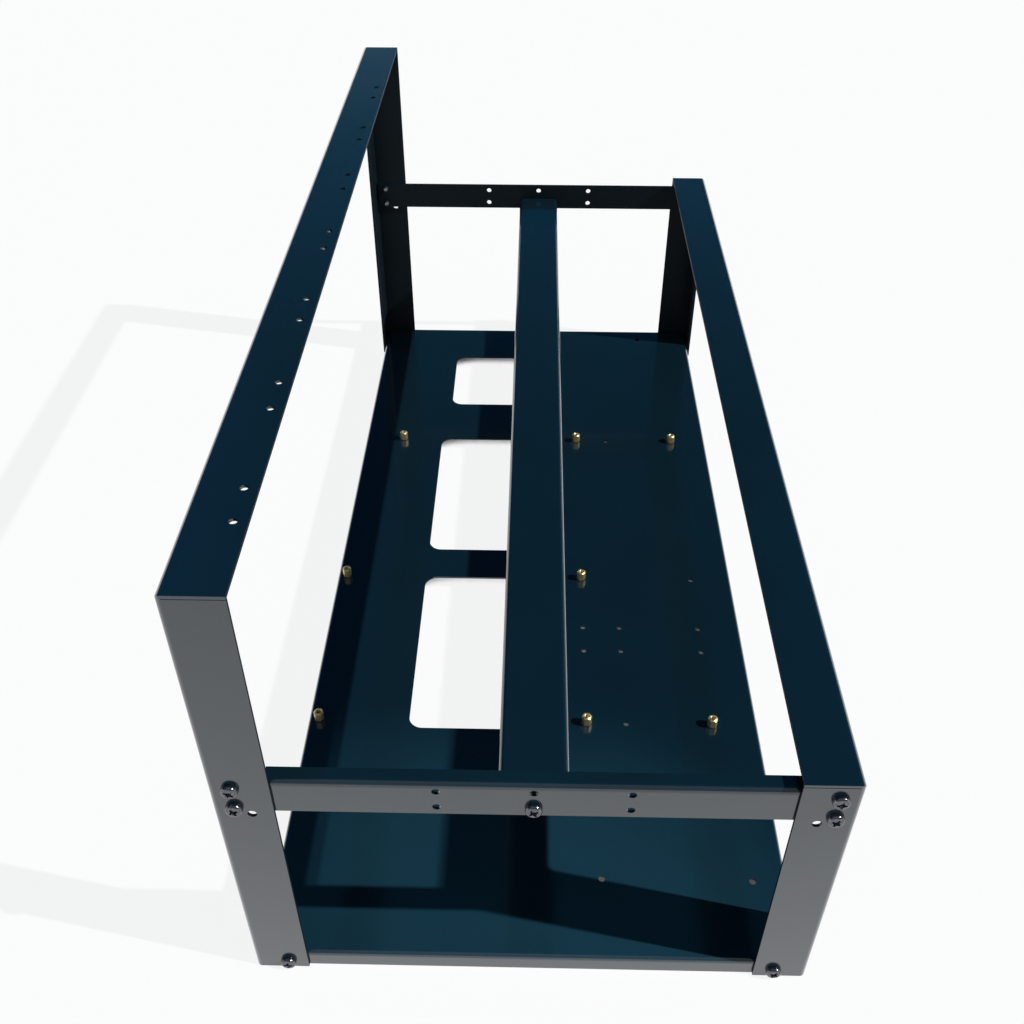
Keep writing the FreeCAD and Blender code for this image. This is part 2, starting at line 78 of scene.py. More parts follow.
class RigCoatSettings(bpy.types.PropertyGroup):
    """Powder coat of the folded sheets."""

    colour: FloatVectorProperty(
        name="Colour", description="Main colour of the coat", default=linear("0D252F"), **COLOUR,
    )
    thick_colour: FloatVectorProperty(
        name="Thick colour", description="Colour of a thick coat", default=linear("0A1E28"), **COLOUR,
    )
    # Painted shade: the nearly black colour given to faces turned inside the folds.
    inside_colour: FloatVectorProperty(
        name="Inside colour", description="Colour inside the folds", default=linear("091318"), **COLOUR,
    )
    peel_size: FloatProperty(
        name="Peel size", description="Width of the ripples in the coat", default=1.8 * MM, **LENGTH,
    )
    peel_depth: FloatProperty(
        name="Peel depth", description="Height of the ripples in the coat", default=0.006 * MM, **LENGTH,
    )
    cloud_size: FloatProperty(
        name="Cloud size", description="Width of thicker and thinner patches", default=45 * MM, **LENGTH,
    )
    grain_size: FloatProperty(
        name="Grain size", description="Width of the grains inside the folds", default=0.6 * MM, **LENGTH,
    )
    grain_depth: FloatProperty(
        name="Grain depth", description="Height of the grains inside the folds", default=0.01 * MM, **LENGTH,
    )
    edge_round: FloatProperty(
        name="Edge rounding", description="How far the coat rounds cut edges", default=0.3 * MM, **LENGTH,
    )
    edge_steps: IntProperty(
        name="Edge steps", description="Faces across a rounded edge", min=1, max=6, default=2,
    )


class RigStandoffSettings(bpy.types.PropertyGroup):
    """Brass standoffs."""

    colour: FloatVectorProperty(
        name="Colour", description="Colour of clean brass", default=linear("F8E8B4"), **COLOUR,
    )
    tarnish: FloatVectorProperty(
        name="Tarnish", description="Colour of dull brass", default=linear("D8BC78"), **COLOUR,
    )
    patch_size: FloatProperty(
        name="Patch size", description="Width of the dull patches", default=1.6 * MM, **LENGTH,
    )
    ring_spacing: FloatProperty(
        name="Ring spacing", description="Spacing of the turning marks", default=0.3 * MM, **LENGTH,
    )
    ring_depth: FloatProperty(
        name="Ring depth", description="Depth of the turning marks", default=0.003 * MM, **LENGTH,
    )
    hexagon: FloatProperty(
        name="Across flats", description="Width across the flats", default=5 * MM, **LENGTH,
    )
    socket: FloatProperty(
        name="Socket", description="Inner diameter of the socket's thread", default=2.5 * MM, **LENGTH,
    )
    socket_depth: FloatProperty(
        name="Socket depth", description="Depth of the socket", default=5 * MM, **LENGTH,
    )
    stud: FloatProperty(
        name="Stud", description="Outer diameter of the stud's thread", default=3 * MM, **LENGTH,
    )
    stud_length: FloatProperty(
        name="Stud length", description="Length of the stud", default=4 * MM, **LENGTH,
    )
    pitch: FloatProperty(
        name="Pitch", description="Pitch of both threads", default=0.5 * MM, **LENGTH,
    )


class RigScrewSettings(bpy.types.PropertyGroup):
    """Black screws with a cross recess."""

    colour: FloatVectorProperty(
        name="Colour", description="Colour of the plating", default=linear("63656A"), **COLOUR,
    )
    worn: FloatVectorProperty(
        name="Worn colour", description="Colour of thin plating", default=linear("989A9E"), **COLOUR,
    )
    wear_size: FloatProperty(
        name="Wear size", description="Width of the worn spots", default=1.1 * MM, **LENGTH,
    )
    head: FloatProperty(
        name="Head", description="Head diameter", default=7.4 * MM, **LENGTH,
    )
    head_height: FloatProperty(
        name="Head height", description="Head height", default=2.8 * MM, **LENGTH,
    )
    thread: FloatProperty(
        name="Thread", description="Thread diameter", default=3.5 * MM, **LENGTH,
    )
    length: FloatProperty(
        name="Length", description="Length under the head", default=6 * MM, **LENGTH,
    )
    pitch: FloatProperty(
        name="Pitch", description="Thread pitch", default=0.6 * MM, **LENGTH,
    )
    recess: FloatProperty(
        name="Recess", description="Length of the cross recess", default=5 * MM, **LENGTH,
    )
    recess_width: FloatProperty(
        name="Recess width", description="Width of a wing of the recess", default=1.2 * MM, **LENGTH,
    )
    recess_depth: FloatProperty(
        name="Recess depth", description="Depth of the recess", default=1.7 * MM, **LENGTH,
    )


class RigStageSettings(bpy.types.PropertyGroup):
    """Floor, lamps and camera."""

    floor: FloatVectorProperty(
        name="Floor", description="Colour of the floor", default=linear("E6E6E4"), **COLOUR,
    )
    floor_size: FloatProperty(
        name="Floor size", description="Width of the floor", default=60, **LENGTH,
    )
    cover_reach: FloatProperty(
        name="Cover reach", description="How far up a cover shades the floor", default=120 * MM, **LENGTH,
    )
    key: FloatProperty(
        name="Key light", description="Strength of the key light", min=0, default=3.7,
    )
    key_width: FloatProperty(
        name="Key width", description="Width of the key light's disc", subtype="ANGLE", min=0,
        default=math.radians(0.7),
    )
    key_direction: FloatVectorProperty(
        name="Key direction", description="Direction to the key light",
        default=(1.10, -0.22, 1.0), **DIRECTION,
    )
    fill: FloatProperty(
        name="Fill light", description="Strength of the fill light", min=0, default=0.3,
    )
    fill_width: FloatProperty(
        name="Fill width", description="Width of the fill light's disc", subtype="ANGLE", min=0,
        default=math.radians(80),
    )
    fill_direction: FloatVectorProperty(
        name="Fill direction", description="Direction to the fill light",
        default=(-0.25, -0.75, 1.0), **DIRECTION,
    )
    spot: FloatProperty(
        name="Spot", description="Power of the spot", unit="POWER", min=0, default=640,
    )
    spot_place: FloatVectorProperty(
        name="Spot place", description="Where the spot meets the tray", subtype="TRANSLATION", unit="LENGTH",
        size=3, default=(0, -260 * MM, 10 * MM),
    )
    spot_width: FloatProperty(
        name="Spot width", description="Width of the spot's beam", default=250 * MM, **LENGTH,
    )
    spot_distance: FloatProperty(
        name="Spot distance", description="How far off the spot stands", default=3, **LENGTH,
    )
    camera_place: FloatVectorProperty(
        name="Camera place", description="Where the camera stands", subtype="TRANSLATION", unit="LENGTH",
        size=3, default=(-3.293 * MM, -578.358 * MM, 508.990 * MM),
    )
    camera_turn: FloatVectorProperty(
        name="Camera turn", description="How the camera is turned", subtype="EULER",
        size=3, default=(math.radians(49.079), math.radians(-0.043), math.radians(1.209)),
    )
    lens: FloatProperty(
        name="Lens", description="Focal length in millimetres", min=1, default=39.41,
    )
    shift: FloatProperty(
        name="Shift", description="Vertical lens shift", default=0.0404,
    )


# Selecting and finishing

def deselect_all():
    if bpy.context.object and bpy.context.object.mode != "OBJECT":
        bpy.ops.object.mode_set(mode="OBJECT")
    bpy.ops.object.select_all(action="DESELECT")


def activate(piece):
    deselect_all()
    piece.select_set(True)
    bpy.context.view_layer.objects.active = piece


def edit(piece):
    activate(piece)
    bpy.ops.object.mode_set(mode="EDIT")
    bpy.ops.mesh.select_all(action="DESELECT")


def edit_merged(piece):
    """Opens a piece for editing, all of it selected, with points that lie on each other merged."""
    edit(piece)
    bpy.ops.mesh.select_all(action="SELECT")
    bpy.ops.mesh.remove_doubles(threshold=SAME_POINT)


def leave_edit():
    bpy.ops.object.mode_set(mode="OBJECT")


def settle(piece):
    """Puts a piece's place, turn and scale into its mesh."""
    activate(piece)
    bpy.ops.object.transform_apply(location=True, rotation=True, scale=True)


def apply_modifier(piece, name, kind, **settings):
    """Adds a modifier, sets it and applies it."""
    activate(piece)
    modifier = piece.modifiers.new(name, kind)
    for key, setting in settings.items():
        setattr(modifier, key, setting)
    bpy.ops.object.modifier_apply(modifier=modifier.name)


def cut(piece, tool, operation="DIFFERENCE"):
    """Joins or cuts the piece with a tool, which is then removed, and merges the points that meet."""
    apply_modifier(piece, "cut", "BOOLEAN", object=tool, operation=operation, solver="EXACT")
    bpy.data.objects.remove(tool)
    edit_merged(piece)
    leave_edit()


def smooth(piece, degrees):
    """Shades the piece smooth, apart from edges sharper than the angle."""
    activate(piece)
    bpy.ops.object.shade_smooth_by_angle(angle=math.radians(degrees))


def finish_piece(piece, material, slot, *nodes):
    """Gives a modelled piece its finish and puts it in the place of its solids."""
    piece.data.materials.clear()
    piece.data.materials.append(material)
    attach(piece, "root")
    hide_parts(*nodes)


def copy_of(piece, name):
    copy = bpy.data.objects.new(name, piece.data.copy())
    bpy.context.scene.collection.objects.link(copy)
    return copy


# Modelling

def lathe(name, profile, steps):
    """Spins a profile of (radius, height) points about the vertical axis into a closed form."""
    deselect_all()
    bpy.ops.mesh.primitive_plane_add(size=MM)
    piece = bpy.context.object
    piece.name = name
    bpy.ops.object.mode_set(mode="EDIT")
    bpy.ops.mesh.select_all(action="SELECT")
    bpy.ops.mesh.merge(type="CENTER")
    here = Vector((profile[0][0], 0, profile[0][1]))
    bpy.ops.transform.translate(value=here)
    for radius, height in profile[1:]:
        step = Vector((radius, 0, height)) - here
        bpy.ops.mesh.extrude_region_move(TRANSFORM_OT_translate={"value": step})
        here += step
    bpy.ops.mesh.select_all(action="SELECT")
    bpy.ops.mesh.spin(steps=steps, angle=2 * math.pi, center=(0, 0, 0), axis=(0, 0, 1))
    edit_merged(piece)
    bpy.ops.mesh.normals_make_consistent(inside=False)
    leave_edit()
    return piece


def thread_profile(outer, inner, low, high, pitch):
    """Points of a thread's flanks from low to high, with narrow flats at the crests and roots."""
    turns = max(1, round((high - low) / pitch))
    rise = (high - low) / turns
    half_flat = 0.06 * rise
    points = []
    for turn in range(turns):
        base = low + turn * rise
        crest = base + rise / 2
        points += [(inner, base + half_flat), (outer, crest - half_flat)]
        points += [(outer, crest + half_flat), (inner, base + rise - half_flat)]
    return points


def coated_sheet(node, settings, heart):
    """The sheet with its flat areas joined and every cut edge rounded by the coat.

    Faces that look towards the heart, a point inside the folds, get the matt coat, painted darker as shade.
    """
    flat_angle = math.radians(0.3)
    cut_edge_angle = math.radians(50)
    piece = copy_of(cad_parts[node], f"{node}_coated")
    edit_merged(piece)
    bpy.ops.mesh.dissolve_limited(angle_limit=flat_angle)
    leave_edit()
    apply_modifier(
        piece, "edge rounding", "BEVEL", width=settings.edge_round, segments=settings.edge_steps,
        limit_method="ANGLE", angle_limit=cut_edge_angle, use_clamp_overlap=True,
    )
    smooth(piece, degrees=60)
    apply_modifier(piece, "flat faces", "WEIGHTED_NORMAL", weight=100, keep_sharp=True)
    finish_piece(piece, finish_of(blue_black_powder_coat, settings), "powder_coat", node)
    piece.data.materials.append(finish_of(inward_painted_shade_coat, settings))
    # Faces turned inward take the second, darker finish: painted shade.
    for face in piece.data.polygons:
        face.material_index = int((heart - face.center).dot(face.normal) > 0)


def corners_of(piece):
    """Lowest and highest corner of a piece."""
    points = [vertex.co for vertex in piece.data.vertices]
    low = Vector(min(point[axis] for point in points) for axis in range(3))
    high = Vector(max(point[axis] for point in points) for axis in range(3))
    return low, high


def solid_places(node):
    """Lowest and highest corner of each separate solid in a node."""
    copy = copy_of(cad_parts[node], "solids")
    edit_merged(copy)
    bpy.ops.mesh.separate(type="LOOSE")
    leave_edit()
    boxes = []
    for solid in list(bpy.context.selected_objects):
        boxes.append(corners_of(solid))
        bpy.data.objects.remove(solid)
    return sorted(boxes, key=lambda box: tuple(round(number, 5) for number in box[0]))


def model_standoff(settings, height):
    """One standoff, standing on z = 0 with its stud below."""
    corner = settings.hexagon / math.sqrt(3)
    deselect_all()
    bpy.ops.mesh.primitive_cylinder_add(
        vertices=6, radius=corner, depth=height, location=(0, 0, height / 2),
        rotation=(0, 0, math.radians(30)),
    )
    standoff = bpy.context.object
    standoff.name = "standoff"
    settle(standoff)

    # Both ends are chamfered.
    face = 0.74 * settings.hexagon / 2
    past_corner = 1.05 * corner
    slope = 0.72 * (past_corner - face)
    envelope = [
        (0, 0), (face, 0), (past_corner, slope),
        (past_corner, height - slope), (face, height), (0, height),
    ]
    cut(standoff, lathe("turned envelope", envelope, steps=48), "INTERSECT")

    # The socket is drilled, tapped and countersunk.
    thread_depth = 0.275 * settings.pitch
    inner = settings.socket / 2
    floor = height - settings.socket_depth
    drill_end = floor + 0.3 * inner
    thread_low = floor + 0.4 * inner
    sink_low = height - 0.3 * MM
    sink_high = height + 0.1 * MM
    sink_radius = inner + 0.4 * MM
    thread_high = sink_low - 0.05 * MM
    socket = [(0, floor), (inner, drill_end)]
    socket += thread_profile(inner + thread_depth, inner, thread_low, thread_high, settings.pitch)
    socket += [(inner, sink_low), (sink_radius, sink_high), (0, sink_high)]
    cut(standoff, lathe("socket", socket, steps=28))

    # The stud has a bevelled tip and a plain neck, and reaches a little way into the hexagon.
    crest = settings.stud / 2
    root = crest - thread_depth
    tip = -settings.stud_length
    tip_radius = 0.9 * root
    bevel = 0.1 * MM
    neck = 0.4 * MM
    inside = 0.5 * MM
    stud = [(0, tip), (tip_radius, tip)]
    stud += thread_profile(crest, root, tip + bevel, -neck - bevel, settings.pitch)
    stud += [(root, -neck), (root, inside), (0, inside)]
    cut(standoff, lathe("stud", stud, steps=28), "UNION")
    smooth(standoff, degrees=32)
    return standoff


def model_screw(settings):
    """One screw, its head above z = 0 and its thread below."""
    rim = settings.head / 2
    top = settings.head_height
    crest = settings.thread / 2
    root = crest - 0.5 * settings.pitch
    tip = -settings.length
    tip_radius = 0.85 * root
    bevel = 0.2 * MM
    edge = 0.15 * MM
    side = 0.42 * top
    dome = 0.57 * top
    dome_angle = math.radians(84)
    dome_steps = 7
    profile = [(0, tip), (tip_radius, tip)]
    profile += thread_profile(crest, root, tip + bevel, -bevel, settings.pitch)
    profile += [(root, -bevel / 2), (root, 0), (rim - edge, 0), (rim, edge), (rim, side)]
    for step in range(1, dome_steps + 1):
        angle = dome_angle * step / dome_steps
        profile.append((rim * (1 + math.cos(angle)) / 2, side + dome * math.sin(angle)))
    profile.append((0, top))
    screw = lathe("screw", profile, steps=40)

    # The recess is two crossed wings, narrower at the bottom, and a tapered middle with a point.
    bottom = top - settings.recess_depth
    wing_top = top + 0.4 * MM
    for turn in (0, 90):
        deselect_all()
        bpy.ops.mesh.primitive_cube_add(size=1, location=(0, 0, (bottom + wing_top) / 2))
        wing = bpy.context.object
        wing.dimensions = (settings.recess, settings.recess_width, wing_top - bottom)
        wing.rotation_euler.z = math.radians(turn)
        settle(wing)
        taper_floor(wing, factor=0.45)
        cut(screw, wing)
    point = bottom - 0.4 * MM
    middle_low = bottom + 0.2 * MM
    middle_high = top + 0.2 * MM
    low_radius = 0.8 * settings.recess_width
    high_radius = 1.15 * settings.recess_width
    middle = [(0, point), (low_radius, middle_low), (high_radius, middle_high), (0, middle_high)]
    cut(screw, lathe("recess middle", middle, steps=24))
    smooth(screw, degrees=34)
    return screw


def taper_floor(piece, factor):
    """Draws the lower face of a cutter in."""
    looks_down = -0.9
    edit(piece)
    mesh = bmesh.from_edit_mesh(piece.data)
    for face in mesh.faces:
        face.select = face.normal.z < looks_down
    bmesh.update_edit_mesh(piece.data)
    bpy.ops.transform.resize(value=(factor, factor, 1))
    leave_edit()


# Finishes

def add_node(tree, kind, sockets=None, links=None, stops=None, **settings):
    """Adds a node with its settings, fixed sockets, links from other nodes' sockets and ramp stops."""
    node = tree.nodes.new(kind)
    for name, setting in settings.items():
        setattr(node, name, setting)
    for socket, number in (sockets or {}).items():
        node.inputs[socket].default_value = number
    for socket, source in (links or {}).items():
        tree.links.new(source, node.inputs[socket])
    for number, (position, colour) in enumerate(stops or ()):
        elements = node.color_ramp.elements
        element = elements[number] if number < 2 else elements.new(position)
        element.position = position
        element.color = (*colour, 1)
    return node


def new_finish(name):
    """An empty material and its tree."""
    material = bpy.data.materials.new(name)
    material.use_nodes = True
    material.node_tree.nodes.clear()
    return material, material.node_tree


def finish_of(build, settings):
    """The finish, made when the first piece needs it."""
    return bpy.data.materials.get(build.__name__) or build(settings)


# Polyester powder, sprayed dry and baked: a hard dark film with a clear gloss, a little deeper in colour
# where it lies thicker. The melt leaves faint ripples, drawn wider than the finest of them so that they show.
def blue_black_powder_coat(settings):
    material, tree = new_finish("blue_black_powder_coat")
    place = add_node(tree, "ShaderNodeTexCoord").outputs["Object"]
    clouds = add_node(
        tree, "ShaderNodeTexNoise",
        {"Scale": 1 / settings.cloud_size, "Detail": 3, "Roughness": 0.5}, {"Vector": place},
    ).outputs["Fac"]
    colour = add_node(
        tree, "ShaderNodeMix",
        {6: (*settings.colour, 1), 7: (*settings.thick_colour, 1)}, {0: clouds}, data_type="RGBA",
    ).outputs[2]
    sheen = add_node(
        tree, "ShaderNodeMapRange", {"To Min": 0.13, "To Max": 0.2}, {"Value": clouds},
    ).outputs["Result"]
    peel = add_node(
        tree, "ShaderNodeTexNoise",
        {"Scale": 1 / settings.peel_size, "Detail": 1.5, "Roughness": 0.45}, {"Vector": place},
    ).outputs["Fac"]
    ripples = add_node(
        tree, "ShaderNodeBump", {"Strength": 1, "Distance": settings.peel_depth}, {"Height": peel},
    ).outputs["Normal"]
    shader = add_node(
        tree, "ShaderNodeBsdfPrincipled", {"Coat Weight": 1, "Coat Roughness": 0.1},
        {"Base Color": colour, "Roughness": sheen, "Normal": ripples, "Coat Normal": ripples},
    ).outputs[0]
    add_node(tree, "ShaderNodeOutputMaterial", links={"Surface": shader})
    return material


# The same powder on faces turned inside the folds, painted nearly black as shade: dry, grainy and matt,
# with no gloss. Its grains are drawn coarser than the powder's own, which are too fine to show.
def inward_painted_shade_coat(settings):
    material, tree = new_finish("inward_painted_shade_coat")
    place = add_node(tree, "ShaderNodeTexCoord").outputs["Object"]
    clouds = add_node(
        tree, "ShaderNodeTexNoise",
        {"Scale": 1 / settings.cloud_size, "Detail": 3, "Roughness": 0.5}, {"Vector": place},
    ).outputs["Fac"]
    thicker = add_node(tree, "ShaderNodeMapRange", {"To Max": 0.3}, {"Value": clouds}).outputs["Result"]
    # Painted shade: faces inside the folds get a nearly black colour.
    colour = add_node(
        tree, "ShaderNodeMix",
        {6: (*settings.inside_colour, 1), 7: (*settings.thick_colour, 1)}, {0: thicker}, data_type="RGBA",
    ).outputs[2]
    grain = add_node(
        tree, "ShaderNodeTexNoise",
        {"Scale": 1 / settings.grain_size, "Detail": 2, "Roughness": 0.6}, {"Vector": place},
    ).outputs["Fac"]
    dull = add_node(
        tree, "ShaderNodeMapRange", {"To Min": 0.45, "To Max": 0.6}, {"Value": grain},
    ).outputs["Result"]
    grit = add_node(
        tree, "ShaderNodeBump", {"Strength": 1, "Distance": settings.grain_depth}, {"Height": grain},
    ).outputs["Normal"]
    shader = add_node(
        tree, "ShaderNodeBsdfPrincipled", {"Specular IOR Level": 0.12},
        {"Base Color": colour, "Roughness": dull, "Normal": grit},
    ).outputs[0]
    add_node(tree, "ShaderNodeOutputMaterial", links={"Surface": shader})
    return material


# Free-cutting brass turned from hexagon bar: a warm, bright metal that dulls in small patches. The tool
# leaves rings round it, drawn wider apart than the real feed of under a tenth of a millimetre so that they
# show.
def turned_brass(settings):
    material, tree = new_finish("turned_brass")
    place = add_node(tree, "ShaderNodeTexCoord").outputs["Object"]
    patches = add_node(
        tree, "ShaderNodeTexNoise",
        {"Scale": 1 / settings.patch_size, "Detail": 3, "Roughness": 0.6}, {"Vector": place},
    ).outputs["Fac"]
    colour = add_node(
        tree, "ShaderNodeMix",
        {6: (*settings.colour, 1), 7: (*settings.tarnish, 1)}, {0: patches}, data_type="RGBA",
    ).outputs[2]
    dull = add_node(
        tree, "ShaderNodeMapRange", {"To Min": 0.34, "To Max": 0.52}, {"Value": patches},
    ).outputs["Result"]
    # A wave texture of scale 1 repeats every pi / 10.
    rings = add_node(
        tree, "ShaderNodeTexWave",
        {"Scale": math.pi / 10 / settings.ring_spacing, "Distortion": 0.6}, {"Vector": place},
        bands_direction="Z",
    ).outputs["Fac"]
    marks = add_node(
        tree, "ShaderNodeBump", {"Strength": 0.5, "Distance": settings.ring_depth}, {"Height": rings},
    ).outputs["Normal"]
    shader = add_node(
        tree, "ShaderNodeBsdfPrincipled", {"Metallic": 1},
        {"Base Color": colour, "Roughness": dull, "Normal": marks},
    ).outputs[0]
    add_node(tree, "ShaderNodeOutputMaterial", links={"Surface": shader})
    return material


# Steel screws with black nickel plating: a dark, polished metal that mirrors the floor, paler in spots where
# the plating is thin.
def black_plated_steel(settings):
    material, tree = new_finish("black_plated_steel")
    place = add_node(tree, "ShaderNodeTexCoord").outputs["Object"]
    wear = add_node(
        tree, "ShaderNodeTexNoise",
        {"Scale": 1 / settings.wear_size, "Detail": 4, "Roughness": 0.6}, {"Vector": place},
    ).outputs["Fac"]
    thin = add_node(
        tree, "ShaderNodeMapRange", {"From Min": 0.5, "From Max": 0.8}, {"Value": wear},
    ).outputs["Result"]
    colour = add_node(
        tree, "ShaderNodeMix",
        {6: (*settings.colour, 1), 7: (*settings.worn, 1)}, {0: thin}, data_type="RGBA",
    ).outputs[2]
    dull = add_node(
        tree, "ShaderNodeMapRange", {"To Min": 0.14, "To Max": 0.28}, {"Value": wear},
    ).outputs["Result"]
    shader = add_node(
        tree, "ShaderNodeBsdfPrincipled", {"Metallic": 1}, {"Base Color": colour, "Roughness": dull},
    ).outputs[0]
    add_node(tree, "ShaderNodeOutputMaterial", links={"Surface": shader})
    return material


# Pale matt floor paint. The camera and shiny surfaces see it glowing white, with painted shade, grey, where a
# low cover keeps the light off, drawn from ambient occlusion.
def pale_floor(settings):
    material, tree = new_finish("pale_floor")
    path = add_node(tree, "ShaderNodeLightPath").outputs
    seen = add_node(
        tree, "ShaderNodeMath", links={0: path["Is Camera Ray"], 1: path["Is Glossy Ray"]},
        operation="MAXIMUM",
    ).outputs[0]
    seen = add_node(
        tree, "ShaderNodeMath", links={0: seen, 1: path["Is Transmission Ray"]}, operation="MAXIMUM",
    ).outputs[0]
    # Painted shade: ambient occlusion dims the floor's glow under and near low covers such as the tray.
    cover = add_node(
        tree, "ShaderNodeAmbientOcclusion", {"Distance": settings.cover_reach}, samples=16,
    ).outputs["AO"]
    clear = add_node(
        tree, "ShaderNodeMapRange",
        {"From Min": 0.07, "From Max": 0.15, "To Min": 0.07, "To Max": 0.88}, {"Value": cover},
    ).outputs["Result"]
    share = add_node(tree, "ShaderNodeMath", links={0: seen, 1: clear}, operation="MULTIPLY").outputs[0]
    paint = add_node(
        tree, "ShaderNodeBsdfPrincipled", {"Base Color": (*settings.floor, 1), "Roughness": 0.9},
    ).outputs[0]
    glow = add_node(tree, "ShaderNodeEmission", {"Color": (1, 1, 1, 1), "Strength": 1}).outputs[0]
    mix = add_node(tree, "ShaderNodeMixShader", links={0: share, 1: paint, 2: glow}).outputs[0]
    add_node(tree, "ShaderNodeOutputMaterial", links={"Surface": mix})
    return material


# Stage

def hang_lamp(name, direction, strength, width):
    """A distant lamp; width is the angle that its disc spans."""
    deselect_all()
    bpy.ops.object.light_add(type="SUN", location=Vector(direction))
    lamp = bpy.context.object
    lamp.name = name
    lamp.rotation_euler = Vector(direction).to_track_quat("Z", "Y").to_euler()
    lamp.data.energy = strength
    lamp.data.angle = width


def aim_spot(settings):
    """A narrow spot in line with the key light, which lifts the tray's front end and lights nothing else."""
    direction = Vector(settings.key_direction).normalized()
    distance = settings.spot_distance
    deselect_all()
    bpy.ops.object.light_add(type="SPOT", location=Vector(settings.spot_place) + direction * distance)
    lamp = bpy.context.object
    lamp.name = "spot_lamp"
    lamp.rotation_euler = direction.to_track_quat("Z", "Y").to_euler()
    lamp.data.energy = settings.spot
    lamp.data.spot_size = 2 * math.atan(settings.spot_width / 2 / distance)
    lamp.data.spot_blend = 1
    lamp.data.shadow_soft_size = distance * math.tan(settings.key_width / 2)
    lit = bpy.data.collections.new("lit by the spot")
    lit.objects.link(bpy.data.objects["base_tray_coated"])
    lamp.light_linking.receiver_collection = lit


def paint_surroundings(scene):
    """Dim blue surroundings: pale at the horizon, darkest half way up, brighter overhead and at the sides."""
    world = bpy.data.worlds.new("studio")
    world.use_nodes = True
    tree = world.node_tree
    tree.nodes.clear()

    # Colours by degrees above the horizon, and by degrees to either side of the middle.
    upwards = [
        (11.5, (0.97, 0.97, 0.97)),
        (12.5, (0.012, 0.1, 0.2)),
        (20, (0.005, 0.06, 0.13)),
        (34, (0.002, 0.012, 0.035)),
        (48, (0.002, 0.015, 0.04)),
        (60, (0.01, 0.06, 0.1)),
    ]
    sideways = [
        (9, (0, 0, 0)),
        (17, (0.004, 0.04, 0.12)),
    ]
    heights, sides = [
        [(math.sin(math.radians(angle)), colour) for angle, colour in ramp]
        for ramp in (upwards, sideways)
    ]
    direction = add_node(tree, "ShaderNodeTexCoord").outputs["Generated"]
    parts = add_node(tree, "ShaderNodeSeparateXYZ", links={0: direction}).outputs
    height = add_node(tree, "ShaderNodeValToRGB", links={"Fac": parts["Z"]}, stops=heights).outputs["Color"]
    across = add_node(tree, "ShaderNodeMath", links={0: parts["X"]}, operation="ABSOLUTE").outputs[0]
    side = add_node(tree, "ShaderNodeValToRGB", links={"Fac": across}, stops=sides).outputs["Color"]
    both = add_node(
        tree, "ShaderNodeMix", {0: 1}, {6: height, 7: side}, data_type="RGBA", blend_type="LIGHTEN",
    ).outputs[2]
    background = add_node(tree, "ShaderNodeBackground", links={"Color": both}).outputs[0]
    add_node(tree, "ShaderNodeOutputWorld", links={"Surface": background})
    scene.world = world


def place_camera(scene, settings):
    deselect_all()
    bpy.ops.object.camera_add(location=settings.camera_place, rotation=settings.camera_turn)
    camera = bpy.context.object
    camera.name = "camera"
    camera.data.sensor_width = 36
    camera.data.lens = settings.lens
    camera.data.shift_y = settings.shift
    camera.data.clip_start = 0.01
    camera.data.clip_end = 200
    scene.camera = camera


# Operators

class RIGFRAME_OT_base_tray(bpy.types.Operator):
    """Coats the tray that carries the main board"""

    bl_idname = "rigframe.base_tray"
    bl_label = "Base Tray"

    def execute(self, context):
        low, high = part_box("base_tray")
        coated_sheet("base_tray", context.scene.rig_coat, (low + high) / 2)
        return {"FINISHED"}


class RIGFRAME_OT_side_frames(bpy.types.Operator):
    """Coats the tall and the low side frame"""

    bl_idname = "rigframe.side_frames"
    bl_label = "Side Frames"

    def execute(self, context):
        past_flanges = 4 * MM
        for node in ("tall_side_frame", "low_side_frame"):
            low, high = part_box(node)
            inner = high.x if high.x < 0 else low.x
            heart = Vector((inner - math.copysign(past_flanges, inner), 0, high.z / 2))
            coated_sheet(node, context.scene.rig_coat, heart)
        return {"FINISHED"}


class RIGFRAME_OT_bars(bpy.types.Operator):
    """Coats the two crossbars and the card bar between them"""

    bl_idname = "rigframe.bars"
    bl_label = "Crossbars and Card Bar"

    def execute(self, context):
        for node in ("front_crossbar", "rear_crossbar"):
            heart = Vector((0, 0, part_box(node)[0].z))
            coated_sheet(node, context.scene.rig_coat, heart)
        low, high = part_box("card_bar")
        coated_sheet("card_bar", context.scene.rig_coat, (low + high) / 2)
        return {"FINISHED"}


class RIGFRAME_OT_standoffs(bpy.types.Operator):
    """Models one brass standoff and sets a copy at every place"""

    bl_idname = "rigframe.standoffs"
    bl_label = "Standoffs"

    def execute(self, context):
        settings = context.scene.rig_standoffs
        low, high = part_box(STANDOFFS[0])
        height = high.z - low.z - settings.stud_length
        master = model_standoff(settings, height)
        for node in STANDOFFS:
            low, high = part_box(node)
            standoff = copy_of(master, f"{node}_turned")
            standoff.location = ((low.x + high.x) / 2, (low.y + high.y) / 2, high.z - height)
            settle(standoff)
            finish_piece(standoff, finish_of(turned_brass, settings), "standoff_brass", node)
        bpy.data.objects.remove(master)
        return {"FINISHED"}


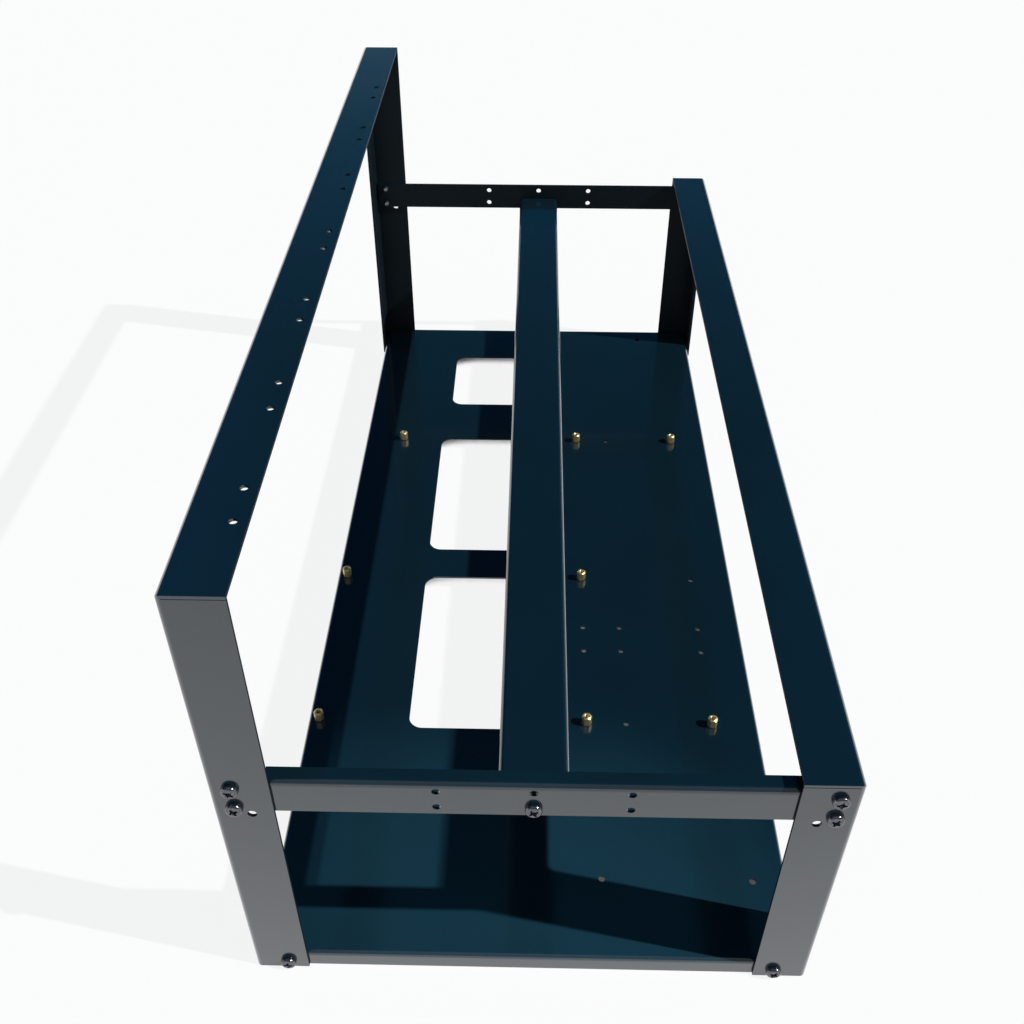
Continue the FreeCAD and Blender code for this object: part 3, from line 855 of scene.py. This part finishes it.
class RIGFRAME_OT_screws(bpy.types.Operator):
    """Models one screw and sets a copy at every place, each set joined"""

    bl_idname = "rigframe.screws"
    bl_label = "Screws"

    def execute(self, context):
        settings = context.scene.rig_screws
        master = model_screw(settings)
        # Every recess stands at another turn, as the driver left it.
        turn = 0.5
        next_turn = 2.1
        for node in SCREW_SETS:
            copies = []
            for low, high in solid_places(node):
                front = low.y < 0
                bearing = low.y + settings.head_height if front else high.y - settings.head_height
                screw = copy_of(master, f"{node}_recessed")
                screw.location = ((low.x + high.x) / 2, bearing, (low.z + high.z) / 2)
                screw.rotation_mode = "ZYX"
                screw.rotation_euler = (math.radians(90 if front else -90), 0, turn)
                settle(screw)
                copies.append(screw)
                turn += next_turn
            activate(copies[0])
            for screw in copies[1:]:
                screw.select_set(True)
            bpy.ops.object.join()
            copies[0].rotation_mode = "XYZ"
            finish_piece(copies[0], finish_of(black_plated_steel, settings), "screw_steel", node)
        bpy.data.objects.remove(master)
        return {"FINISHED"}


class RIGFRAME_OT_stage(bpy.types.Operator):
    """Lays the floor, hangs the lamps and places the camera"""

    bl_idname = "rigframe.stage"
    bl_label = "Stage"

    def execute(self, context):
        settings = context.scene.rig_stage
        deselect_all()
        bpy.ops.mesh.primitive_plane_add(size=settings.floor_size)
        floor = context.object
        floor.name = "floor"
        floor.data.materials.append(finish_of(pale_floor, settings))
        hang_lamp("key_lamp", settings.key_direction, settings.key, settings.key_width)
        hang_lamp("fill_lamp", settings.fill_direction, settings.fill, settings.fill_width)
        aim_spot(settings)
        paint_surroundings(context.scene)
        place_camera(context.scene, settings)
        context.scene.view_settings.view_transform = "Standard"
        return {"FINISHED"}


class RIGFRAME_PT_tools(bpy.types.Panel):
    """Lists the steps in the sidebar"""

    bl_idname = "RIGFRAME_PT_tools"
    bl_label = "Rig Frame"
    bl_space_type = "VIEW_3D"
    bl_region_type = "UI"
    bl_category = "Rig Frame"

    def draw(self, context):
        for operator in OPERATORS:
            self.layout.operator(operator.bl_idname)
        for group in SETTINGS:
            settings = getattr(context.scene, group)
            for name in settings.__annotations__:
                self.layout.prop(settings, name)


SETTINGS = {
    "rig_coat": RigCoatSettings,
    "rig_standoffs": RigStandoffSettings,
    "rig_screws": RigScrewSettings,
    "rig_stage": RigStageSettings,
}
OPERATORS = [
    RIGFRAME_OT_base_tray,
    RIGFRAME_OT_side_frames,
    RIGFRAME_OT_bars,
    RIGFRAME_OT_standoffs,
    RIGFRAME_OT_screws,
    RIGFRAME_OT_stage,
]


def register():
    for group in SETTINGS.values():
        bpy.utils.register_class(group)
    for operator in OPERATORS:
        bpy.utils.register_class(operator)
    bpy.utils.register_class(RIGFRAME_PT_tools)
    for name, group in SETTINGS.items():
        setattr(bpy.types.Scene, name, PointerProperty(type=group))


def unregister():
    for name in SETTINGS:
        delattr(bpy.types.Scene, name)
    bpy.utils.unregister_class(RIGFRAME_PT_tools)
    for operator in reversed(OPERATORS):
        bpy.utils.unregister_class(operator)
    for group in SETTINGS.values():
        bpy.utils.unregister_class(group)


def main():
    register()
    bpy.ops.rigframe.base_tray()
    bpy.ops.rigframe.side_frames()
    bpy.ops.rigframe.bars()
    bpy.ops.rigframe.standoffs()
    bpy.ops.rigframe.screws()
    bpy.ops.rigframe.stage()


if __name__ == "__main__":
    main()
